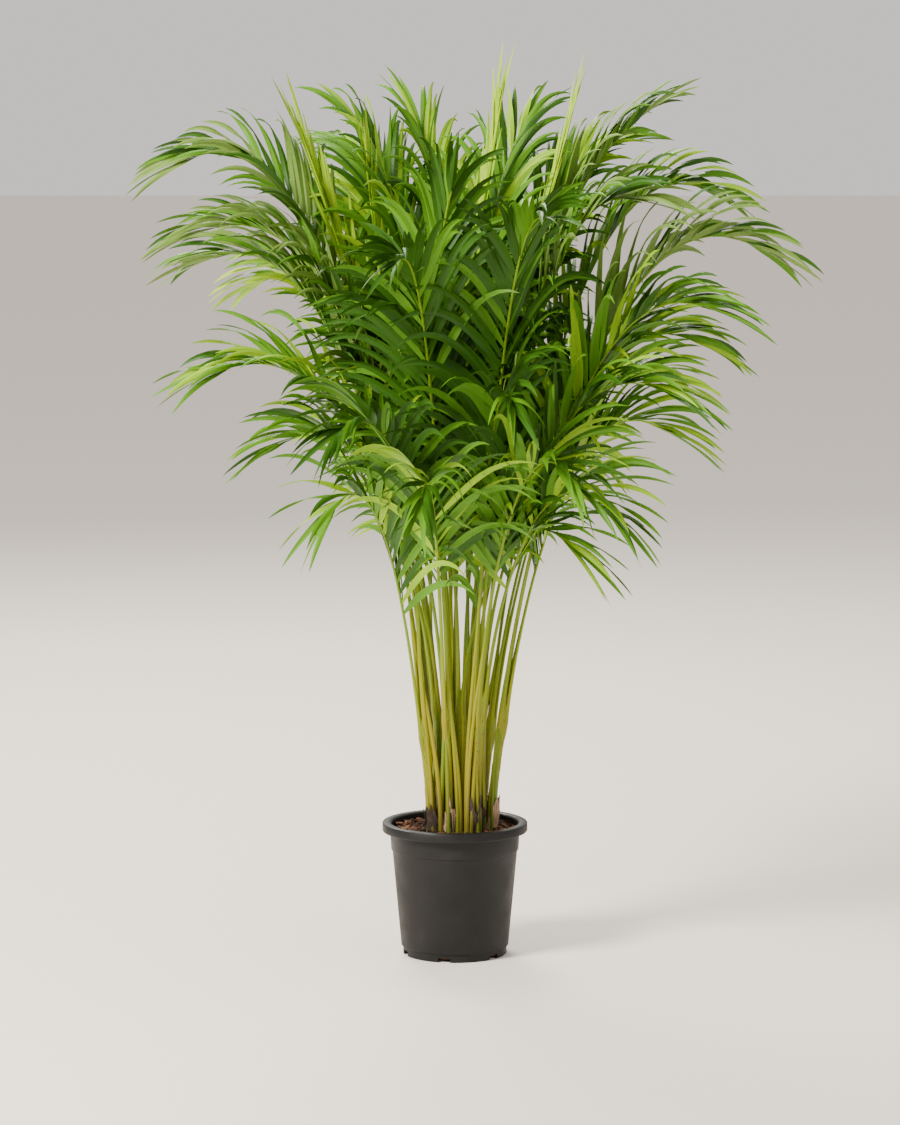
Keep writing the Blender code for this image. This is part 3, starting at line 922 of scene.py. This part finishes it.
def strip_faces(first):
    """The faces of a closed strip: its outer grid, its inner grid and the rim between them."""
    inner = first + STRIP_ROWS * STRIP_COLUMNS
    faces = []
    for row in range(STRIP_ROWS - 1):
        for column in range(STRIP_COLUMNS - 1):
            corner = row * STRIP_COLUMNS + column
            above = corner + STRIP_COLUMNS
            quad = (corner, corner + 1, above + 1, above)
            faces.append(tuple(first + number for number in quad))
            faces.append(tuple(inner + number for number in (quad[0], *quad[:0:-1])))
    last_row = (STRIP_ROWS - 1) * STRIP_COLUMNS
    rim = [*range(STRIP_COLUMNS)]
    rim += [row * STRIP_COLUMNS + STRIP_COLUMNS - 1 for row in range(1, STRIP_ROWS)]
    rim += [last_row + column for column in range(STRIP_COLUMNS - 2, -1, -1)]
    rim += [row * STRIP_COLUMNS for row in range(STRIP_ROWS - 2, 0, -1)]
    for one, two in zip(rim, rim[1:] + rim[:1]):
        faces.append((first + two, first + one, inner + one, inner + two))
    return faces


def ragged_heights(draw, height):
    """The height of each column of an old leaf base: tallest in the middle, and ragged."""
    start, length = STRIP_ARC
    heights = []
    for column in range(STRIP_COLUMNS):
        wave = math.sin(math.pi * (start + length * column / (STRIP_COLUMNS - 1)))
        heights.append(height * draw.uniform(*STRIP_RAGGED) * wave)
    return heights


def make_old_sheaths():
    """Dry leaf bases round the canes: dark rotted ones and tan papery ones."""
    draw = random.Random(SEED + 2)
    materials = {
        "dark": sheath_material("old_sheath_dark", (0.012, 0.008, 0.005), (0.060, 0.036, 0.020)),
        "tan": sheath_material("old_sheath_tan", (0.16, 0.085, 0.045), (0.42, 0.27, 0.16)),
    }
    gathered = {kind: ([], []) for kind in materials}
    for number, (foot, top) in enumerate(cane_axes()):
        outward = foot - CLUMP_CENTRE
        bearing = math.degrees(math.atan2(outward.y, outward.x))
        for _ in range(2 if number >= FIRST_OUTER_CANE else 1):
            verts, faces = gathered["dark" if draw.random() < DARK_SHARE else "tan"]
            heading = bearing + draw.uniform(-STRIP_ASIDE, STRIP_ASIDE)
            start, height, spread, flare = [
                draw.uniform(*span)
                for span in (STRIP_FOOT, STRIP_HEIGHT, STRIP_SPREAD, STRIP_FLARE)
            ]
            heights = ragged_heights(draw, height)
            faces += strip_faces(len(verts))
            for gap in STRIP_GAPS:
                verts += strip_face(foot, top, gap, heading, start, heights, spread, flare)
    for kind, (verts, faces) in gathered.items():
        made = add_mesh(f"old_sheaths_{kind}", verts, faces, materials[kind], sharp=60)
        finish_piece(made, "cane")


def stalk_rings(stalk, top):
    """The rings, and the rise at each, of a stalk that parts from its cane and thins to its tip."""
    rings, rises = [], []
    start, along, left, above = stalk.frame(0.0)
    for back, breadth in JOIN_RINGS:
        centre = start - back * along + JOIN_DRIFT * back / JOIN_DEPTH * (top - start)
        rings.append((centre, STALK_RADIUS * breadth * left, STALK_RADIUS * breadth * above))
        rises.append(STALK_FOOT_RISE)
    for step in range(STALK_RINGS + 1):
        share = step / STALK_RINGS
        point, _, left, above = stalk.frame(share * stalk.length)
        plain = STALK_RADIUS + (STALK_TIP_RADIUS - STALK_RADIUS) * share
        broad = 1 + FOOT_SWELL * math.exp(-share / FOOT_SWELL_REACH)
        rings.append((point, plain * broad * left, STALK_FLATNESS * plain * broad * above))
        rises.append(STALK_FOOT_RISE + (1 - STALK_FOOT_RISE) * share)
    return rings, rises


def shoot_rings(draw, foot, stalk):
    """The rings of a thin stem from the soil beside a cane to a stalk above it, with their rise."""
    point, along, _, _ = stalk.frame(draw.uniform(*SHOOT_JOINT))
    away = (point - foot).xy.to_3d().normalized()
    gap = draw.uniform(*SHOOT_GAP)
    start = foot + gap * (away + SHOOT_SCATTER * compass(draw.uniform(0, 360))).normalized()
    offset = start - CLUMP_CENTRE
    offset.z = 0
    start -= max(0.0, offset.length - SHOOT_REACH) * offset.normalized()
    rise = point.z - start.z
    thickness = draw.uniform(*SHOOT_RADIUS)
    bow = draw.uniform(*SHOOT_BOW) * compass(draw.uniform(0, 360))
    leaving = start + SHOOT_LEAVING * rise * UP + bow
    joining = point - SHOOT_JOINING * rise * along
    rings, rises = [], []
    for step in range(SHOOT_STEPS + 1):
        share = step / SHOOT_STEPS
        centre = bezier((start, leaving, joining, point), share)
        rings.append(level_ring(centre, thickness * (1 - SHOOT_TAPER * share)))
        rises.append(SHOOT_TOP_RISE * share)
    return rings, rises


# Leaflets


def frond_colour(frond):
    """The leaf colour of a frond, by where it stands in the crown: painted shade at the front,
    painted light on the far side and inside, a painted sheen high at the sides, and the young
    fronds' own fresh green.
    """
    if frond.young:
        return "fresh"
    if FAR_HEADINGS[0] <= frond.heading <= FAR_HEADINGS[1]:
        return "mid" if frond.height > FAR_HIGH_TIP else "bright"
    if FRONT_HEADINGS[0] <= frond.heading <= FRONT_HEADINGS[1]:
        return "deep" if frond.height > LOW_TIP else "mid"
    if frond.height < LOW_TIP:
        return "mid"
    if frond.height > HIGH_TIP:
        return "grey"
    return "bright" if frond.reach < INNER_REACH else "mid"


def end_leaflets(stalk, settings, colour):
    """The two leaflets at a frond's tip."""
    point, along, left, _ = stalk.frame(stalk.length)
    return [
        Leaflet(
            colour=colour, root=point, direction=(along + END_SPLAY * side * left).normalized(),
            side=side, along=along + END_TURN * side * left, length=END_LENGTH,
            width=END_WIDTH * settings.leaflet_width,
            droop=YOUNG_END_DROOP if stalk.frond.young else END_DROOP,
            roll=0.0, twist=END_TWIST * side, curl=0.0,
        )
        for side in (1, -1)
    ]


def leaflets_of(stalk, settings, draw):
    """All the leaflets of a frond, in pairs from the end of its bare stalk to its tip."""
    factors = YOUNG_FACTORS if stalk.frond.young else (1, 1, 1, 1)
    angle_factor, length_factor, width_factor, droop_factor = factors
    bare = BARE_SHARE * stalk.length * FIRST_LEAFLET
    feathered = stalk.length - bare
    pairs = round(feathered / settings.pair_spacing)
    mix = MIXES[frond_colour(stalk.frond)]
    leaflets = []
    for pair in range(pairs):
        share = (pair + PAIR_LAG) / pairs
        bulge = math.sin(math.pi * min(1, BULGE_SPEED * share))
        for side in (1, -1):
            step = pair + 0.5 + PAIR_STAGGER * side + draw.uniform(-PAIR_SHAKE, PAIR_SHAKE)
            point, along, left, above = stalk.frame(bare + feathered * step / pairs)
            angle = (ANGLE_AT_FOOT + (ANGLE_AT_TIP - ANGLE_AT_FOOT) * share) * angle_factor
            angle = math.radians(angle + draw.gauss(0, ANGLE_SCATTER))
            vee = math.radians(VEE_ANGLE + draw.gauss(0, VEE_SCATTER))
            aside = side * math.cos(vee) * left + math.sin(vee) * above
            length = LEAFLET_LENGTH * (LENGTH_AT_ENDS + LENGTH_BULGE * bulge - LENGTH_LOSS * share)
            broad = WIDTH_AT_ENDS + WIDTH_BULGE * math.sin(math.pi * share)
            width = settings.leaflet_width * broad
            # The random draws follow the order of the arguments
            leaflets.append(Leaflet(
                root=point, side=side, along=along,
                direction=math.cos(angle) * along + math.sin(angle) * aside,
                length=length * draw.uniform(*LENGTH_RANGE) * length_factor,
                width=width * (width_factor * draw.uniform(*WIDTH_RANGE)),
                droop=(1 - DROOP_LOSS * share) * droop_factor * draw.uniform(*DROOP_RANGE),
                colour=mix[draw.randrange(len(mix))], roll=draw.gauss(0, ROLL_SCATTER),
                twist=draw.gauss(0, TWIST_SCATTER), curl=draw.uniform(*CURL_RANGE),
            ))
    return leaflets + end_leaflets(stalk, settings, mix[0])


def unit(vectors):
    """The vectors of an array, each at a length of one."""
    return vectors / np.linalg.norm(vectors, axis=-1, keepdims=True)


def blade_midribs(leaflets, shares):
    """The points of each leaflet's midrib, and the way that it heads at each, as it droops."""
    root, direction, along, length, droop, curl = (
        np.array([getattr(leaflet, name) for leaflet in leaflets])
        for name in ("root", "direction", "along", "length", "droop", "curl")
    )
    centre = np.empty((len(leaflets), len(shares), 3))
    heading = np.empty_like(centre)
    centre[:, 0] = root
    for ring, share in enumerate(shares):
        fall = droop * (DROOP_START + DROOP_GROWTH * share**DROOP_POWER)
        curled = (curl * share**2)[:, None] * along
        heading[:, ring] = unit(direction - fall[:, None] * np.array(UP) + curled)
        if ring:
            step = unit(heading[:, ring] + heading[:, ring - 1])
            centre[:, ring] = centre[:, ring - 1] + step * (length / BLADE_SEGMENTS)[:, None]
    return centre, heading


def blade_faces(count):
    """The faces of a number of blades: four strips round each, and one face at either end."""
    faces = []
    for ring in range(BLADE_SEGMENTS):
        low = BLADE_CORNERS * ring
        high = low + BLADE_CORNERS
        for corner in range(BLADE_CORNERS):
            after = (corner + 1) % BLADE_CORNERS
            faces.append((low + corner, low + after, high + after, high + corner))
    end = BLADE_CORNERS * BLADE_SEGMENTS
    faces += [(3, 2, 1, 0), (end, end + 1, end + 2, end + 3)]
    starts = (end + BLADE_CORNERS) * np.arange(count)
    return (np.array(faces)[None] + starts[:, None, None]).reshape(-1, BLADE_CORNERS)


def blade_meshes(leaflets):
    """All the blades of one colour at once: their vertices, faces and places on the leaf.

    A blade is a roof of two halves that fall away from its midrib, closed from below.
    """
    side, along, length, width, roll, twist = (
        np.array([getattr(leaflet, name) for leaflet in leaflets], dtype=float)
        for name in ("side", "along", "length", "width", "roll", "twist")
    )
    count = len(leaflets)
    shares = np.linspace(0, 1, BLADE_SEGMENTS + 1)
    centre, heading = blade_midribs(leaflets, shares)
    across = -side[:, None, None] * along[:, None, :]
    across = unit(across - (across * heading).sum(-1, keepdims=True) * heading)
    over = np.cross(heading, across)
    turn = (roll[:, None] + twist[:, None] * shares)[..., None]
    across, over = (
        np.cos(turn) * across + np.sin(turn) * over, np.cos(turn) * over - np.sin(turn) * across
    )
    widening = np.minimum(1.0, BLADE_FOOT + BLADE_WIDENING * shares)
    body = widening * (1 - shares**BLADE_NARROWING) ** BLADE_BLUNTNESS
    half = (0.5 * width[:, None] * body)[..., None] + BLADE_TIP_HALF
    fold = math.radians(BLADE_FOLD)
    spread = half * math.cos(fold) * across
    sink = half * math.sin(fold) * over
    thick = (BLADE_THICKNESS * (TIP_THICKNESS + (1 - TIP_THICKNESS) * (1 - shares)))[:, None] * over
    corners = [centre + spread - sink, centre, centre - spread - sink, centre - thick]
    verts = np.stack(corners, axis=2)
    uv = np.empty((*verts.shape[:3], 2))
    uv[..., 0] = (0.0, 0.5, 1.0, 0.5)
    shift = np.arange(count)[:, None, None] * VEIN_SHIFT
    uv[..., 1] = (shares * length[:, None] * VEIN_REPEATS)[..., None] + shift
    return verts.reshape(-1, 3), blade_faces(count), uv.reshape(-1, 2)


def make_fronds(settings):
    """Stalks and thin stems as one piece, and the leaflets of each colour as one piece."""
    draw = random.Random(SEED + 3)
    stalks = make_stalks()
    tubes = Tubes(STALK_SIDES)
    leaflets = {name: [] for name in LEAF_LOOKS}
    canes = [cane for cane in cane_axes() for _ in range(STALKS_PER_CANE)]
    for number, ((foot, top), stalk) in enumerate(zip(canes, stalks)):
        rings, rises = stalk_rings(stalk, top)
        tubes.add(rings, rise=rises, tone=[draw.uniform(*STALK_TONES)] * len(rings))
        for _ in range(2 if number % STALKS_PER_CANE else 1):
            rings, rises = shoot_rings(draw, foot, stalk)
            tubes.add(rings, rise=rises, tone=[draw.uniform(*STALK_TONES)] * len(rings))
        for leaflet in leaflets_of(stalk, settings, draw):
            leaflets[leaflet.colour].append(leaflet)
    made = tubes.build("stalks", stalk_material())
    finish_piece(made, "frond", *numbered("frond", len(stalks)))
    # The leaflets_deep, leaflets_bright and leaflets_grey pieces carry painted shade, painted light
    # and a painted sheen
    for name, gathered in leaflets.items():
        verts, faces, uv = blade_meshes(gathered)
        material = leaf_material(name, getattr(settings, f"leaf_{name}"), LEAF_LOOKS[name][1])
        blades = add_mesh(
            f"leaflets_{name}", verts.tolist(), faces.tolist(), material, sharp=24, uv=uv
        )
        finish_piece(blades, "frond")


# Stage


def make_stage():
    """The camera at the photograph's height and angle, soft studio light and a pale floor."""
    tilt = math.radians(90 - CAMERA_DIP)
    bpy.ops.object.camera_add(location=CAMERA_PLACE, rotation=(tilt, 0, 0))
    camera = bpy.context.active_object
    camera.name = "camera"
    camera.data.lens = CAMERA_LENS
    camera.data.sensor_width = CAMERA_SENSOR
    bpy.context.scene.camera = camera
    bpy.ops.mesh.primitive_plane_add(size=FLOOR_SIZE, location=(0, 0, FLOOR_LEVEL))
    floor = bpy.context.active_object
    floor.name = "floor"
    floor.data.materials.append(new_material("floor", FLOOR_COLOUR, 0.75)[0])
    world = bpy.data.worlds.new("studio")
    world.use_nodes = True
    background = world.node_tree.nodes["Background"]
    background.inputs["Color"].default_value = (*WORLD_COLOUR, 1.0)
    background.inputs["Strength"].default_value = WORLD_STRENGTH
    bpy.context.scene.world = world
    for name, place, size, power, colour in LIGHTS:
        bpy.ops.object.light_add(type="AREA", location=place)
        light = bpy.context.active_object
        light.name = name
        light.data.size = size
        light.data.energy = power
        light.data.color = colour
        aim = LIGHT_AIM - Vector(place)
        light.rotation_euler = aim.to_track_quat("-Z", "Y").to_euler()


# Add-on


class PALM_OT_stage(bpy.types.Operator):
    """Set up the camera, lights and floor"""

    bl_idname = "palm.stage"
    bl_label = "Set the stage"

    def execute(self, context):
        make_stage()
        return {"FINISHED"}


class PALM_OT_pot(bpy.types.Operator):
    """Build the nursery pot"""

    bl_idname = "palm.pot"
    bl_label = "Build pot"

    def execute(self, context):
        make_pot(context.scene.palm)
        return {"FINISHED"}


class PALM_OT_soil(bpy.types.Operator):
    """Dress the soil"""

    bl_idname = "palm.soil"
    bl_label = "Dress soil"

    def execute(self, context):
        make_soil(context.scene.palm)
        return {"FINISHED"}


class PALM_OT_canes(bpy.types.Operator):
    """Build the canes"""

    bl_idname = "palm.canes"
    bl_label = "Build canes"

    def execute(self, context):
        make_canes()
        return {"FINISHED"}


class PALM_OT_old_sheaths(bpy.types.Operator):
    """Build the old leaf bases round the canes"""

    bl_idname = "palm.old_sheaths"
    bl_label = "Build old leaf bases"

    def execute(self, context):
        make_old_sheaths()
        return {"FINISHED"}


class PALM_OT_fronds(bpy.types.Operator):
    """Build the stalks, thin stems and leaflets"""

    bl_idname = "palm.fronds"
    bl_label = "Build fronds"

    def execute(self, context):
        make_fronds(context.scene.palm)
        return {"FINISHED"}


class PALM_PT_panel(bpy.types.Panel):
    """The palm's sizes, colours and operators"""

    bl_label = "Potted palm"
    bl_idname = "PALM_PT_panel"
    bl_space_type = "VIEW_3D"
    bl_region_type = "UI"
    bl_category = "Palm"

    def draw(self, context):
        for name in PalmSettings.__annotations__:
            self.layout.prop(context.scene.palm, name)
        for operator in OPERATORS:
            self.layout.operator(operator.bl_idname)


OPERATORS = (
    PALM_OT_stage, PALM_OT_pot, PALM_OT_soil, PALM_OT_canes, PALM_OT_old_sheaths, PALM_OT_fronds,
)
CLASSES = (PalmSettings, *OPERATORS, PALM_PT_panel)


def register():
    for cls in CLASSES:
        bpy.utils.register_class(cls)
    bpy.types.Scene.palm = bpy.props.PointerProperty(type=PalmSettings)


def unregister():
    del bpy.types.Scene.palm
    for cls in reversed(CLASSES):
        bpy.utils.unregister_class(cls)


def main():
    register()
    bpy.ops.palm.stage()
    bpy.ops.palm.pot()
    bpy.ops.palm.soil()
    bpy.ops.palm.canes()
    bpy.ops.palm.old_sheaths()
    bpy.ops.palm.fronds()


if __name__ == "__main__":
    main()
